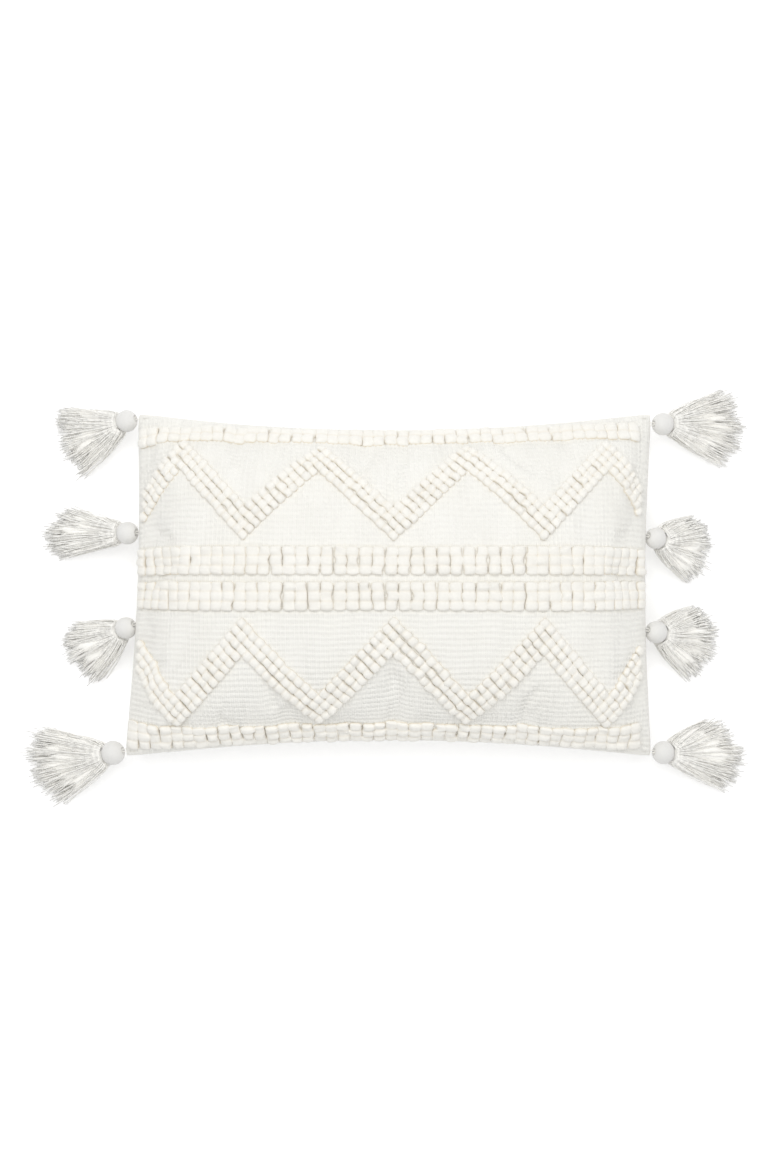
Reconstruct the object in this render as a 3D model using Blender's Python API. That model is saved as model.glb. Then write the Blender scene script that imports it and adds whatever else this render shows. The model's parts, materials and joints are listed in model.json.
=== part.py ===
"""Rectangular throw pillow with raised loop bands, side tassels, a zipped cover and a stuffed insert.

The pillow lies on its back, front face up. +X runs along the long edges, +Y towards the top edge and
+Z up. The origin is the middle of the flat patch that the pillow rests on. All sizes are in metres.

Every layer of the pillow is one closed form drawn at its own inset. A point of the flat cloth is given
by s across and t up, each from -1 to 1, and drapes to u and v, its shares of the stuffed half width and
half height.
"""

import math

import bmesh
import bpy
from mathutils import Matrix, Vector

# The stuffed cover: its corners reach furthest, and its edges pull in between them.
CORNER_HALF_WIDTH = 0.268
CORNER_HALF_HEIGHT = 0.177
SIDE_PULL_IN = 0.007
LONG_EDGE_PULL_IN = 0.018
LEFT_SIDE_LEAN = 0.0067
SEAM_HEIGHT = 0.046
CORNER_DROOP = 0.008
DROOP_START_ACROSS = 0.72
DROOP_START_UP = 0.5
FRONT_RISE = 0.076
BACK_DROP = 0.054

# The flat cloth, and how it spreads when it drapes over the stuffing.
CLOTH_HALF_WIDTH = 0.2795
CLOTH_HALF_HEIGHT = 0.178
SPREAD_ACROSS = 0.125
SPREAD_UP = 0.175
EDGE_CROWDING = 4.5

# How full the form is: higher powers make a flatter middle, a lower fullness a steeper edge.
LENGTH_POWER = 3.0
HEIGHT_POWER = 2.2
EDGE_FULLNESS = 0.6

# Layers, outside to inside.
GAP = 0.0003
SEAM_HALF_GAP = 0.00015
COVER_THICKNESS = 0.0016
COVER_RIM = 0.0022
INSERT_INSET = 0.012
INSERT_SLACK = 0.0028
CASING_THICKNESS = 0.001
CASING_RIM = 0.0015
CASING_HALF_GAP = 0.0006
FILL_SLACK = 0.001

# Raised loop bands, in metres of flat cloth above the middle.
LOOP_COLUMN = 0.0123
BAND_LIFT = 0.0024
BAND_PILE = 0.0046
BAND_END = 0.955
TOP_BORDER = (0.148, 0.169)
CENTRE_UPPER_BAND = (0.009, 0.0365)
CENTRE_LOWER_BAND = (-0.0245, 0.0035)
BOTTOM_BORDER = (-0.170, -0.145)
TOP_BORDER_DROOP_LEFT = 0.009
TOP_BORDER_DROOP_RIGHT = 0.003
BOTTOM_BORDER_SPREAD = 0.007
BORDER_BEND = 2.2
UPPER_ZIGZAG = (0.0435, 0.1465)
LOWER_ZIGZAG = (-0.1385, -0.026)
ZIGZAG_ROWS = 18
COLUMNS_PER_HALF_PERIOD = 6
ZIGZAG_SHIFT = 0.002

# Tassels: name, side, head's place up the side, direction, skirt length, skirt half width, head radius.
TASSELS = (
    ("left_top", -1, 0.169, 195, 0.062, 0.032, 0.0113),
    ("left_upper", -1, 0.0535, 182, 0.066, 0.024, 0.0116),
    ("left_lower", -1, -0.045, 205, 0.060, 0.030, 0.0113),
    ("left_bottom", -1, -0.1735, 194, 0.070, 0.034, 0.0125),
    ("right_top", 1, 0.166, 0, 0.064, 0.034, 0.0116),
    ("right_upper", 1, 0.0475, -17, 0.052, 0.031, 0.0110),
    ("right_lower", 1, -0.049, -14, 0.054, 0.032, 0.0116),
    ("right_bottom", 1, -0.173, -6, 0.066, 0.034, 0.0118),
)
HEAD_STAND_OFF = 0.0022
LOOP_CORD_RADIUS = 0.0007
LOOP_HALF_WIDTH = 0.0013
LOOP_START = 0.0012
SWAY_AXIS = 0.0034
HEAD_POCKET_DEPTH = 0.0062
HEAD_POCKET_MOUTH = 0.0046
HEAD_POCKET_FLOOR = 0.0026
HEAD_CUT = 0.84
NECK_RADIUS = 0.0054
NECK_LENGTH = 0.0038
BINDING_INNER = 0.0058
BINDING_OUTER = 0.0074
BINDING_BULGE = 0.0005
BINDING_WIDTH = 0.003
SKIRT_TIP_HALF_DEPTH = 0.0085
FLOOR_CLEARANCE = 0.0004

# The zip in the lower seam, which is an arc whose centre lies below the pillow's lower edge.
ZIP_RADIUS = CORNER_HALF_WIDTH ** 2 / (2 * LONG_EDGE_PULL_IN)
ZIP_CENTRE_Y = LONG_EDGE_PULL_IN - CORNER_HALF_HEIGHT - ZIP_RADIUS
ZIP_HALF_LENGTH = 0.186
ZIP_OPENING_HALF = 0.0044
ZIP_OPEN_SHARE = 0.72
ZIP_CLOSED_SHARE = 0.86
ZIP_EDGE_SHARE = 0.8
ZIP_STEPS = 20
COIL_DEPTH = 0.0058
COIL_HEIGHT = 0.0018
COIL_RADIUS = 0.0011
SLIDER_REST_X = 0.173
SLIDER_HALF_LENGTH = 0.0055
PULL_AXIS_DEPTH = 0.00225

# Colours: the cotton is a warm ivory, and the zip is nylon with a nickel-plated slider.
IVORY = (0.87, 0.85, 0.78, 1.0)
IVORY_PILE = (0.91, 0.90, 0.83, 1.0)
TASSEL_IVORY = (0.86, 0.85, 0.80, 1.0)
INSERT_WHITE = (0.88, 0.88, 0.87, 1.0)
NICKEL = (0.72, 0.71, 0.69, 1.0)


# --- scene and mesh helpers ---

def clear_scene():
    for item in list(bpy.data.objects):
        bpy.data.objects.remove(item, do_unlink=True)


def finish_material(name, colour, roughness, metallic=0.0):
    material = bpy.data.materials.new(name)
    material.use_nodes = True
    shader = material.node_tree.nodes["Principled BSDF"]
    shader.inputs["Base Color"].default_value = colour
    shader.inputs["Roughness"].default_value = roughness
    shader.inputs["Metallic"].default_value = metallic
    return material


def add_object(name, mesh, material):
    mesh.materials.clear()
    mesh.materials.append(material)
    piece = bpy.data.objects.new(name, mesh)
    bpy.context.scene.collection.objects.link(piece)
    return piece


def mesh_from(name, shape, smooth_angle=None):
    """Turn a bmesh into a mesh with its faces out, and free it."""
    bmesh.ops.recalc_face_normals(shape, faces=shape.faces)
    if shape.calc_volume(signed=True) < 0:
        bmesh.ops.reverse_faces(shape, faces=shape.faces)
    mesh = bpy.data.meshes.new(name)
    shape.to_mesh(mesh)
    shape.free()
    if smooth_angle is not None:
        mesh.shade_smooth()
        mesh.set_sharp_from_angle(angle=math.radians(smooth_angle))
    return mesh


def grid_solid(name, upper, lower, columns, rows):
    """Close the space between two surfaces, each a function of a column and a row."""
    shape = bmesh.new()
    sheets = []
    for surface in (upper, lower):
        sheets.append([[shape.verts.new(surface(c, r)) for r in rows] for c in columns])
    last_column = len(columns) - 1
    last_row = len(rows) - 1
    for sheet in sheets:
        for i in range(last_column):
            for j in range(last_row):
                shape.faces.new((sheet[i][j], sheet[i + 1][j], sheet[i + 1][j + 1], sheet[i][j + 1]))
    border = [(i, 0) for i in range(last_column)]
    border += [(last_column, j) for j in range(last_row)]
    border += [(i, last_row) for i in range(last_column, 0, -1)]
    border += [(0, j) for j in range(last_row, 0, -1)]
    for here, there in zip(border, border[1:] + border[:1]):
        rim = [sheets[0][here[0]][here[1]], sheets[0][there[0]][there[1]]]
        rim += [sheets[1][there[0]][there[1]], sheets[1][here[0]][here[1]]]
        shape.faces.new(rim)
    bmesh.ops.triangulate(shape, faces=shape.faces[:], quad_method="FIXED")
    return mesh_from(name, shape, 50)


def ring_solid(name, rings, smooth_angle=50, closed=False):
    """Skin a run of equal rings of points, capping both ends unless the run closes on itself."""
    shape = bmesh.new()
    loops = [[shape.verts.new(point) for point in ring] for ring in rings]
    pairs = list(zip(loops, loops[1:]))
    if closed:
        pairs.append((loops[-1], loops[0]))
    count = len(loops[0])
    for first, second in pairs:
        for k in range(count):
            after = (k + 1) % count
            shape.faces.new((first[k], first[after], second[after], second[k]))
    if not closed:
        shape.faces.new(loops[0])
        shape.faces.new(loops[-1])
    return mesh_from(name, shape, smooth_angle)


def box_mesh(name, low, high):
    shape = bmesh.new()
    centre = (Vector(low) + Vector(high)) / 2
    size = Vector(high) - Vector(low)
    bmesh.ops.create_cube(shape, size=1, matrix=Matrix.Translation(centre) @ Matrix.Diagonal(size.to_4d()))
    return mesh_from(name, shape)


def combined(name, first, others, operation):
    """The mesh of one mesh united with, or cut by, others."""
    base = bpy.data.objects.new(name, first)
    bpy.context.scene.collection.objects.link(base)
    tools = []
    for mesh in others:
        tool = bpy.data.objects.new(name + "_tool", mesh)
        bpy.context.scene.collection.objects.link(tool)
        tools.append(tool)
        modifier = base.modifiers.new("combine", "BOOLEAN")
        modifier.operation = operation
        modifier.object = tool
    depsgraph = bpy.context.evaluated_depsgraph_get()
    result = bpy.data.meshes.new_from_object(base.evaluated_get(depsgraph))
    for item in [base] + tools:
        bpy.data.objects.remove(item, do_unlink=True)
    return result


# --- the pillow's form ---

def clamp(value):
    return min(1.0, max(0.0, value))


def draped(s, t):
    """Where a point of the flat cloth lands, as shares of the half width and half height."""
    u = s * (1 + SPREAD_ACROSS * (1 - t * t) * (1 - s * s))
    v = t * (1 + SPREAD_UP * (1 - abs(s) ** 3) * (1 - abs(t) ** EDGE_CROWDING))
    return u, v


def fullness(u, v):
    return (max(0.0, 1 - abs(u) ** LENGTH_POWER) * max(0.0, 1 - abs(v) ** HEIGHT_POWER)) ** EDGE_FULLNESS


def seam_height(u, v, inset=0):
    """Height of the seam's level, which droops towards the corners, for a layer set in from the cover."""
    along = abs(u) * (1 - inset / CORNER_HALF_WIDTH)
    up = abs(v) * (1 - inset / CORNER_HALF_HEIGHT)
    along = clamp((along - DROOP_START_ACROSS) / (1 - DROOP_START_ACROSS))
    up = clamp((up - DROOP_START_UP) / (1 - DROOP_START_UP))
    return SEAM_HEIGHT - CORNER_DROOP * along ** 2 * up ** 2


def zip_gap(u, v):
    """Half of the gap between the panels' rims: wide where the zip lies, closed elsewhere."""
    along = clamp((ZIP_CLOSED_SHARE - abs(u)) / (ZIP_CLOSED_SHARE - ZIP_OPEN_SHARE))
    near_edge = clamp((-v - ZIP_EDGE_SHARE) / (1 - ZIP_EDGE_SHARE))
    return SEAM_HALF_GAP + (ZIP_OPENING_HALF - SEAM_HALF_GAP) * along * near_edge


def plan_point(u, v, inset):
    x = u * (CORNER_HALF_WIDTH - inset - SIDE_PULL_IN * (1 - v * v))
    if u < 0:
        x += LEFT_SIDE_LEAN * v * u * u
    y = v * (CORNER_HALF_HEIGHT - inset - LONG_EDGE_PULL_IN * (1 - u * u))
    return x, y


def front_surface(inset, slack, rim_gap=None):
    """The front of a layer. Its rim stays a given distance above the seam, or clear of the zip."""
    def surface(s, t):
        u, v = draped(s, t)
        x, y = plan_point(u, v, inset)
        gap = zip_gap(u, v) if rim_gap is None else rim_gap
        return x, y, seam_height(u, v, inset) + gap + (FRONT_RISE - slack) * fullness(u, v)
    return surface


def back_surface(inset, slack, rim_gap=None):
    """The back of a layer, flat where the pillow rests on it."""
    def surface(s, t):
        u, v = draped(s, t)
        x, y = plan_point(u, v, inset)
        gap = zip_gap(u, v) if rim_gap is None else rim_gap
        hanging = seam_height(u, v, inset) - gap - (BACK_DROP - slack) * fullness(u, v)
        return x, y, max(slack, hanging)
    return surface


def both_ways(half):
    return [-value for value in reversed(half[1:])] + list(half)


COLUMNS = both_ways((0, 0.15, 0.30, 0.45, 0.59, 0.71, 0.82, 0.92, 1))
ROWS = both_ways((0, 0.25, 0.48, 0.68, 0.84, 0.95, 1))


def make_cover():
    cloth = finish_material("cover_cotton", IVORY, 0.9)
    back_cloth = finish_material("back_cotton", IVORY, 0.92)
    outer = front_surface(0, 0)
    inner = front_surface(COVER_RIM, COVER_THICKNESS)
    add_object("front_panel", grid_solid("front_panel", outer, inner, COLUMNS, ROWS), cloth)
    outer = back_surface(0, 0)
    inner = back_surface(COVER_RIM, COVER_THICKNESS)
    add_object("back_panel", grid_solid("back_panel", outer, inner, COLUMNS, ROWS), back_cloth)


def make_insert():
    casing = finish_material("insert_casing", INSERT_WHITE, 0.85)
    filling = finish_material("insert_filling", INSERT_WHITE, 0.95)
    rim = INSERT_INSET + CASING_RIM
    slack = INSERT_SLACK + CASING_THICKNESS
    panels = (("insert_front", front_surface), ("insert_back", back_surface))
    for name, surface in panels:
        outer = surface(INSERT_INSET, INSERT_SLACK, CASING_HALF_GAP)
        inner = surface(rim, slack, CASING_HALF_GAP)
        add_object(name, grid_solid(name, outer, inner, COLUMNS, ROWS), casing)
    rim += FILL_SLACK
    slack += FILL_SLACK
    upper = front_surface(rim, slack, SEAM_HALF_GAP)
    lower = back_surface(rim, slack, SEAM_HALF_GAP)
    fill = grid_solid("insert_fill", upper, lower, COLUMNS, ROWS)
    add_object("insert_fill", fill, filling)


# --- raised loop bands ---

def band_solid(name, low_edge, high_edge, columns, rows, material):
    """A pad of pile on the front cloth, between two edges given as functions of the place across."""
    def placed(lift):
        surface = front_surface(-lift, -lift)

        def at(across, share):
            up = low_edge(across) + (high_edge(across) - low_edge(across)) * share
            return surface(across / CLOTH_HALF_WIDTH, up / CLOTH_HALF_HEIGHT)
        return at
    mesh = grid_solid(name, placed(BAND_LIFT + BAND_PILE), placed(BAND_LIFT), columns, rows)
    add_object(name, mesh, material)


def band_columns():
    """Places across the cloth, a quarter of a zigzag's half period apart, ending short of the seams."""
    step = LOOP_COLUMN * COLUMNS_PER_HALF_PERIOD / 4
    end = BAND_END * CLOTH_HALF_WIDTH
    places = [ZIGZAG_SHIFT + k * step for k in range(-20, 21)]
    inner = [place for place in places if abs(place) < end - 0.7 * step]
    return [-end, 0.4 * step - end] + inner + [end - 0.4 * step, end]


def top_border_droop(across):
    """How far the top border falls below a straight line towards the corners."""
    most = TOP_BORDER_DROOP_LEFT if across < 0 else TOP_BORDER_DROOP_RIGHT
    return most * abs(across / CLOTH_HALF_WIDTH) ** BORDER_BEND


def bottom_border_spread(across):
    """How much taller the bottom border grows towards the corners."""
    return BOTTOM_BORDER_SPREAD * abs(across / CLOTH_HALF_WIDTH) ** BORDER_BEND


def level(across):
    return 0.0


def band_edges(band, droop=level, spread=level):
    """The edges of a straight band, which may fall or grow taller towards the corners."""
    low, high = band

    def low_edge(across):
        return low - droop(across)

    def high_edge(across):
        return high - droop(across) + spread(across)
    return low_edge, high_edge


def make_straight_bands():
    pile = finish_material("band_pile", IVORY_PILE, 0.95)
    bands = (("top_border", band_edges(TOP_BORDER, droop=top_border_droop)),
             ("centre_upper_band", band_edges(CENTRE_UPPER_BAND)),
             ("centre_lower_band", band_edges(CENTRE_LOWER_BAND)),
             ("bottom_border", band_edges(BOTTOM_BORDER, spread=bottom_border_spread)))
    for name, (low_edge, high_edge) in bands:
        band_solid(name, low_edge, high_edge, band_columns(), (0, 1 / 3, 2 / 3, 1), pile)


def zigzag_edges(bottom, top, starts_high):
    """The edges of a zigzag whose arms climb one row of loops in each half column, to pointed turns."""
    half_period = LOOP_COLUMN * COLUMNS_PER_HALF_PERIOD
    climb = (top - bottom) * 2 * COLUMNS_PER_HALF_PERIOD / ZIGZAG_ROWS
    thickness = top - bottom - climb

    def low_edge(across):
        share = abs(1 - ((across - ZIGZAG_SHIFT) / half_period) % 2)
        return bottom + climb * (share if starts_high else 1 - share)

    def high_edge(across):
        return min(top - top_border_droop(across), low_edge(across) + thickness)
    return low_edge, high_edge


def make_zigzags():
    pile = finish_material("zigzag_pile", IVORY_PILE, 0.95)
    bands = (("upper_zigzag", UPPER_ZIGZAG, False), ("lower_zigzag", LOWER_ZIGZAG, True))
    for name, (bottom, top), starts_high in bands:
        low_edge, high_edge = zigzag_edges(bottom, top, starts_high)
        band_solid(name, low_edge, high_edge, band_columns(), (0, 0.25, 0.5, 0.75, 1), pile)


# --- tassels ---

def seam_point(side, y):
    """The point of a short side's seam at a height y up the pillow."""
    v = y / CORNER_HALF_HEIGHT
    x, _ = plan_point(side, v, 0)
    return Vector((x, y, seam_height(side, v)))


def circle(x, radius_y, radius_z, sides):
    turns = [2 * math.pi * k / sides for k in range(sides)]
    return [(x, radius_y * math.cos(turn), radius_z * math.sin(turn)) for turn in turns]


def loop_mesh(name):
    """A small cord loop, from the seam out to its round end about the sway axis."""
    bends = 4
    path = [Vector((LOOP_START, LOOP_HALF_WIDTH, 0))]
    for k in range(bends + 1):
        turn = math.pi * (0.5 - k / bends)
        bend = LOOP_HALF_WIDTH * Vector((math.cos(turn), math.sin(turn), 0))
        path.append(Vector((SWAY_AXIS, 0, 0)) + bend)
    path.append(Vector((LOOP_START, -LOOP_HALF_WIDTH, 0)))
    rings = []
    for k, centre in enumerate(path):
        before = path[max(0, k - 1)]
        after = path[min(len(path) - 1, k + 1)]
        across = (after - before).normalized().cross(Vector((0, 0, 1)))
        turns = [2 * math.pi * n / 6 for n in range(6)]
        rings.append([centre + LOOP_CORD_RADIUS * (math.cos(a) * across + math.sin(a) * Vector((0, 0, 1)))
                      for a in turns])
    return ring_solid(name, rings)


def head_mesh(name, radius):
    """A ball with a flat neck end and, towards the seam, a pocket that the loop turns in."""
    centre = HEAD_STAND_OFF + radius
    sides = 12
    rings = [circle(HEAD_POCKET_DEPTH, HEAD_POCKET_FLOOR, HEAD_POCKET_FLOOR, sides)]
    first = math.asin(HEAD_POCKET_MOUTH / radius)
    last = math.acos(-HEAD_CUT)
    steps = 6
    for k in range(steps + 1):
        turn = first + (last - first) * k / steps
        reach = radius * math.sin(turn)
        rings.append(circle(centre - radius * math.cos(turn), reach, reach, sides))
    return ring_solid(name, rings, 55)


def neck_start(radius):
    return HEAD_STAND_OFF + radius + HEAD_CUT * radius + GAP


def binding_mesh(name, radius):
    start = neck_start(radius) + GAP
    end = start + BINDING_WIDTH
    shoulder = BINDING_OUTER - BINDING_BULGE
    stations = ((start, BINDING_INNER), (start, shoulder), ((start + end) / 2, BINDING_OUTER),
                (end, shoulder), (end, BINDING_INNER))
    rings = [circle(x, reach, reach, 12) for x, reach in stations]
    return ring_solid(name, rings, 55, closed=True)


def skirt_mesh(name, radius, length, half_width):
    """A bundle of yarns that swells below the neck and fans out flat towards its cut ends."""
    start = neck_start(radius)
    flare = (
        (0, NECK_RADIUS, NECK_RADIUS),
        (NECK_LENGTH, NECK_RADIUS, NECK_RADIUS),
        (0.16 * length, 0.40 * half_width, 0.0095),
        (0.36 * length, 0.60 * half_width, 0.0115),
        (0.65 * length, 0.82 * half_width, 0.0110),
        (0.94 * length, half_width, SKIRT_TIP_HALF_DEPTH),
        (length, 0.93 * half_width, 0.6 * SKIRT_TIP_HALF_DEPTH),
    )
    return ring_solid(name, [circle(start + x, wide, deep, 12) for x, wide, deep in flare], 55)


def tassel_pitch(height, radius, length):
    """How far the tassel slopes down, so that its skirt's end just clears the surface below."""
    reach = neck_start(radius) + 0.94 * length
    slant = math.hypot(reach, SKIRT_TIP_HALF_DEPTH)
    return math.asin((height - FLOOR_CLEARANCE) / slant) - math.atan2(SKIRT_TIP_HALF_DEPTH, reach)


def make_tassel(name, side, head_y, direction, length, half_width, radius, finishes):
    loop_finish, head_finish, binding_finish, skirt_finish = finishes
    yaw = math.radians(direction)
    out = HEAD_STAND_OFF + radius
    hinge = seam_point(side, head_y - out * math.sin(yaw))
    pitch = tassel_pitch(hinge.z, radius, length)
    turned = Matrix.Rotation(yaw, 4, "Z") @ Matrix.Rotation(pitch, 4, "Y")
    lift = bpy.data.objects.new("lift_axis_" + name, None)
    bpy.context.scene.collection.objects.link(lift)
    lift.matrix_world = Matrix.Translation(hinge) @ turned
    sway = bpy.data.objects.new("sway_axis_" + name, None)
    bpy.context.scene.collection.objects.link(sway)
    sway.parent = lift
    sway.location = (SWAY_AXIS, 0, 0)
    loop = add_object("tassel_loop_" + name, loop_mesh("tassel_loop_" + name), loop_finish)
    loop.parent = lift
    pieces = (
        ("tassel_head_", head_mesh("tassel_head_" + name, radius), head_finish),
        ("tassel_binding_", binding_mesh("tassel_binding_" + name, radius), binding_finish),
        ("tassel_skirt_", skirt_mesh("tassel_skirt_" + name, radius, length, half_width), skirt_finish),
    )
    for prefix, mesh, finish in pieces:
        mesh.transform(Matrix.Translation((-SWAY_AXIS, 0, 0)))
        piece = add_object(prefix + name, mesh, finish)
        piece.parent = sway


def make_tassels():
    finishes = (
        finish_material("tassel_cord", TASSEL_IVORY, 0.85),
        finish_material("tassel_head_thread", TASSEL_IVORY, 0.75),
        finish_material("tassel_binding_thread", TASSEL_IVORY, 0.8),
        finish_material("tassel_skirt_yarn", TASSEL_IVORY, 0.85),
    )
    for name, side, head_y, direction, length, half_width, radius in TASSELS:
        make_tassel(name, side, head_y, direction, length, half_width, radius, finishes)


# --- the zip ---

def zip_point(x, depth, height):
    """A point of the zip: x along it, depth into the pillow from the seam, height above the seam."""
    reach = ZIP_RADIUS + depth
    turn = x / ZIP_RADIUS
    return Vector((reach * math.sin(turn), ZIP_CENTRE_Y + reach * math.cos(turn), SEAM_HEIGHT + height))


def swept(name, section, start, end, steps, smooth_angle=50):
    """Sweep a closed section of depths and heights along the seam's arc."""
    rings = []
    for k in range(steps + 1):
        x = start + (end - start) * k / steps
        rings.append([zip_point(x, depth, height) for depth, height in section])
    return ring_solid(name, rings, smooth_angle)


def mirrored(section, sign):
    return [(depth, sign * height) for depth, height in section]


def make_zip_tapes():
    woven = finish_material("zip_tape_polyester", IVORY, 0.9)
    nylon = finish_material("zip_coil_nylon", IVORY, 0.5)
    tape = ((0.00555, 0.0032), (0.00605, 0.0032), (0.00605, 0.0046), (0.0085, 0.0105),
            (0.0080, 0.0107), (0.00555, 0.0047))
    turns = [math.pi * (k + 0.5) / 3 for k in range(6)]
    coil = [(COIL_DEPTH + COIL_RADIUS * math.cos(a), COIL_HEIGHT + COIL_RADIUS * math.sin(a)) for a in turns]
    for side, sign in (("front", 1), ("back", -1)):
        name = "zipper_tape_" + side
        whole_zip = (-ZIP_HALF_LENGTH, ZIP_HALF_LENGTH, ZIP_STEPS)
        add_object(name, swept(name, mirrored(tape, sign), *whole_zip), woven)
        name = "zipper_coil_" + side
        add_object(name, swept(name, mirrored(coil, sign), *whole_zip), nylon)


def make_zip_stops():
    metal = finish_material("zip_stop_metal", NICKEL, 0.35, 1.0)
    stop_length = 0.003
    reach = ZIP_HALF_LENGTH + GAP
    both = ((0.0046, -0.0029), (0.0070, -0.0029), (0.0070, 0.0029), (0.0046, 0.0029))
    half = ((0.0046, 0.0004), (0.0070, 0.0004), (0.0070, 0.0029), (0.0046, 0.0029))
    stops = (
        ("zipper_bottom_stop", both, -reach - stop_length, -reach),
        ("zipper_top_stop_front", half, reach, reach + stop_length),
        ("zipper_top_stop_back", mirrored(half, -1), reach, reach + stop_length),
    )
    for name, section, start, end in stops:
        add_object(name, swept(name, section, start, end, 1, 30), metal)


def zip_frame(x):
    """Axes at a point of the zip: X towards its closed end, Y into the pillow, Z up."""
    turn = x / ZIP_RADIUS
    return Matrix.Translation(zip_point(x, 0, 0)) @ Matrix.Rotation(-turn, 4, "Z")


def slider_mesh():
    """Two plates with turned-in edges, joined by a post, with a bridge for the pull on the outside."""
    half = SLIDER_HALF_LENGTH
    outer_plate = ((0.0033, -0.0040), (0.0050, -0.0040), (0.0050, -0.0034), (0.0043, -0.0034),
                   (0.0043, 0.0034), (0.0050, 0.0034), (0.0050, 0.0040), (0.0033, 0.0040))
    inner_plate = ((0.0083, -0.0040), (0.0066, -0.0040), (0.0066, -0.0034), (0.0073, -0.0034),
                   (0.0073, 0.0034), (0.0066, 0.0034), (0.0066, 0.0040), (0.0083, 0.0040))
    plates = []
    for section in (outer_plate, inner_plate):
        rings = [[(x, depth, height) for depth, height in section] for x in (-half, half)]
        plates.append(ring_solid("plate", rings, 30))
    post = box_mesh("post", (half - 0.0032, 0.0038, -0.0004), (half - 0.0004, 0.0078, 0.0004))
    arch = ((-0.0030, 0.0038), (-0.0030, 0.0003), (0.0030, 0.0003), (0.0030, 0.0038),
            (0.0021, 0.0038), (0.0021, 0.0012), (-0.0021, 0.0012), (-0.0021, 0.0038))
    bridge = ring_solid("bridge", [[(x, depth, z) for x, depth in arch] for z in (-0.0008, 0.0008)], 30)
    return combined("zipper_slider", plates[0], [post, plates[1], bridge], "UNION")


def pull_mesh():
    """A flat tab with a slot round the slider's bridge. Its hinge bar lies on the local origin."""
    outline = ((0.0006, -0.0023), (-0.0060, -0.0023), (-0.0190, -0.0023), (-0.0210, -0.0012),
               (-0.0210, 0.0012), (-0.0190, 0.0023), (-0.0060, 0.0023), (0.0006, 0.0023))
    blank = ring_solid("pull", [[(x, depth, z) for x, z in outline] for depth in (-0.0005, 0.0005)], 30)
    slot = box_mesh("slot", (-0.0045, -0.001, -0.0013), (-0.0006, 0.001, 0.0013))
    return combined("zipper_pull", blank, [slot], "DIFFERENCE")


def make_slider():
    metal = finish_material("zip_slider_metal", NICKEL, 0.3, 1.0)
    frame = zip_frame(SLIDER_REST_X)
    slider = add_object("zipper_slider", slider_mesh(), metal)
    slider.matrix_world = frame
    pull = add_object("zipper_pull", pull_mesh(), metal)
    pull.matrix_world = frame @ Matrix.Translation((0, PULL_AXIS_DEPTH, 0))


def main():
    clear_scene()
    make_cover()
    make_insert()
    make_straight_bands()
    make_zigzags()
    make_tassels()
    make_zip_tapes()
    make_zip_stops()
    make_slider()


main()
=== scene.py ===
"""Looks of a rectangular throw pillow with raised loop bands and side tassels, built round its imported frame.

The pillow lies on its back, front face up, +X along its long edges and +Y towards its top edge. All sizes are
in metres. A point of the flat cloth is given by s across and t up, each from -1 to 1, or by the same place in
metres of cloth, across and up from the middle.
"""

import json
import math

import bpy
import numpy as np
from mathutils import Matrix, Vector

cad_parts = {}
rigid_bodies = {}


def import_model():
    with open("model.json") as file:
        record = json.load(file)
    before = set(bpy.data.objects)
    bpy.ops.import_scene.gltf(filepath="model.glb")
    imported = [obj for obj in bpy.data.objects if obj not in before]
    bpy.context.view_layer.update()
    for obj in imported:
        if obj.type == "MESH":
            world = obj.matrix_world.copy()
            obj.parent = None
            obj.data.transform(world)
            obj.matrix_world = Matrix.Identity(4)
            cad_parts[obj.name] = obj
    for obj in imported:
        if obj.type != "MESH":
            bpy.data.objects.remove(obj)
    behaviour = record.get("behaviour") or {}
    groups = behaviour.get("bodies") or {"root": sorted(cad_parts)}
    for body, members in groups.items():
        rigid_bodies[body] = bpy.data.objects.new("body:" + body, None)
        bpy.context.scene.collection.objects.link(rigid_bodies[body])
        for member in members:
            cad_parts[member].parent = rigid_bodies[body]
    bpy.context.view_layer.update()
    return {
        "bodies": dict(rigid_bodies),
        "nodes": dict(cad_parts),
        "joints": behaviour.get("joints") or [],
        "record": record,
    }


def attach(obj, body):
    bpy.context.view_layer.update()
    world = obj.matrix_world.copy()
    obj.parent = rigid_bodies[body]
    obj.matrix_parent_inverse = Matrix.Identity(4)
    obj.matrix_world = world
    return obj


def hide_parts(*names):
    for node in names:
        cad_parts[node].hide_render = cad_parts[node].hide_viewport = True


# The stuffed cover, as the part's source has it.
CORNER_HALF_WIDTH = 0.268
CORNER_HALF_HEIGHT = 0.177
SIDE_PULL_IN = 0.007
LONG_EDGE_PULL_IN = 0.018
LEFT_SIDE_LEAN = 0.0067
SEAM_HEIGHT = 0.046
CORNER_DROOP = 0.008
DROOP_START_ACROSS = 0.72
DROOP_START_UP = 0.5
FRONT_RISE = 0.076
BACK_DROP = 0.054
CLOTH_HALF_WIDTH = 0.2795
CLOTH_HALF_HEIGHT = 0.178
SPREAD_ACROSS = 0.125
SPREAD_UP = 0.175
EDGE_CROWDING = 4.5
LENGTH_POWER = 3.0
HEIGHT_POWER = 2.2
EDGE_FULLNESS = 0.6
CORNER_ROUNDING = 0.008
SEAM_HALF_GAP = 0.00015

# The insert's layers, inside the cover.
INSERT_INSET = 0.012
INSERT_SLACK = 0.0028
CASING_THICKNESS = 0.001
CASING_RIM = 0.0015
CASING_HALF_GAP = 0.0006
FILL_SLACK = 0.001

# The cover's cloth simulation.
SIM_COLUMNS = 113
SIM_ROWS = 75
SIM_FRAMES = 20
SIM_PRESSURE = 4.0
SIM_SLACK = 0.004
SPARE_CLOTH = 0.025
MOST_MOVE = 0.008
SEAM_REACH = 0.035
GRID_CROWDING = 0.85

# The ribbed ground weave.
RIB = 0.0055
BEAD = 0.0045
RIB_RELIEF = 0.0003
BEAD_RELIEF = 0.0014
RIB_SAMPLES = 4
BEAD_SAMPLES = 3
EVEN_END = 0.985
END_PLACES = (0.9925, 0.9975, 1.0)

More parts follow.
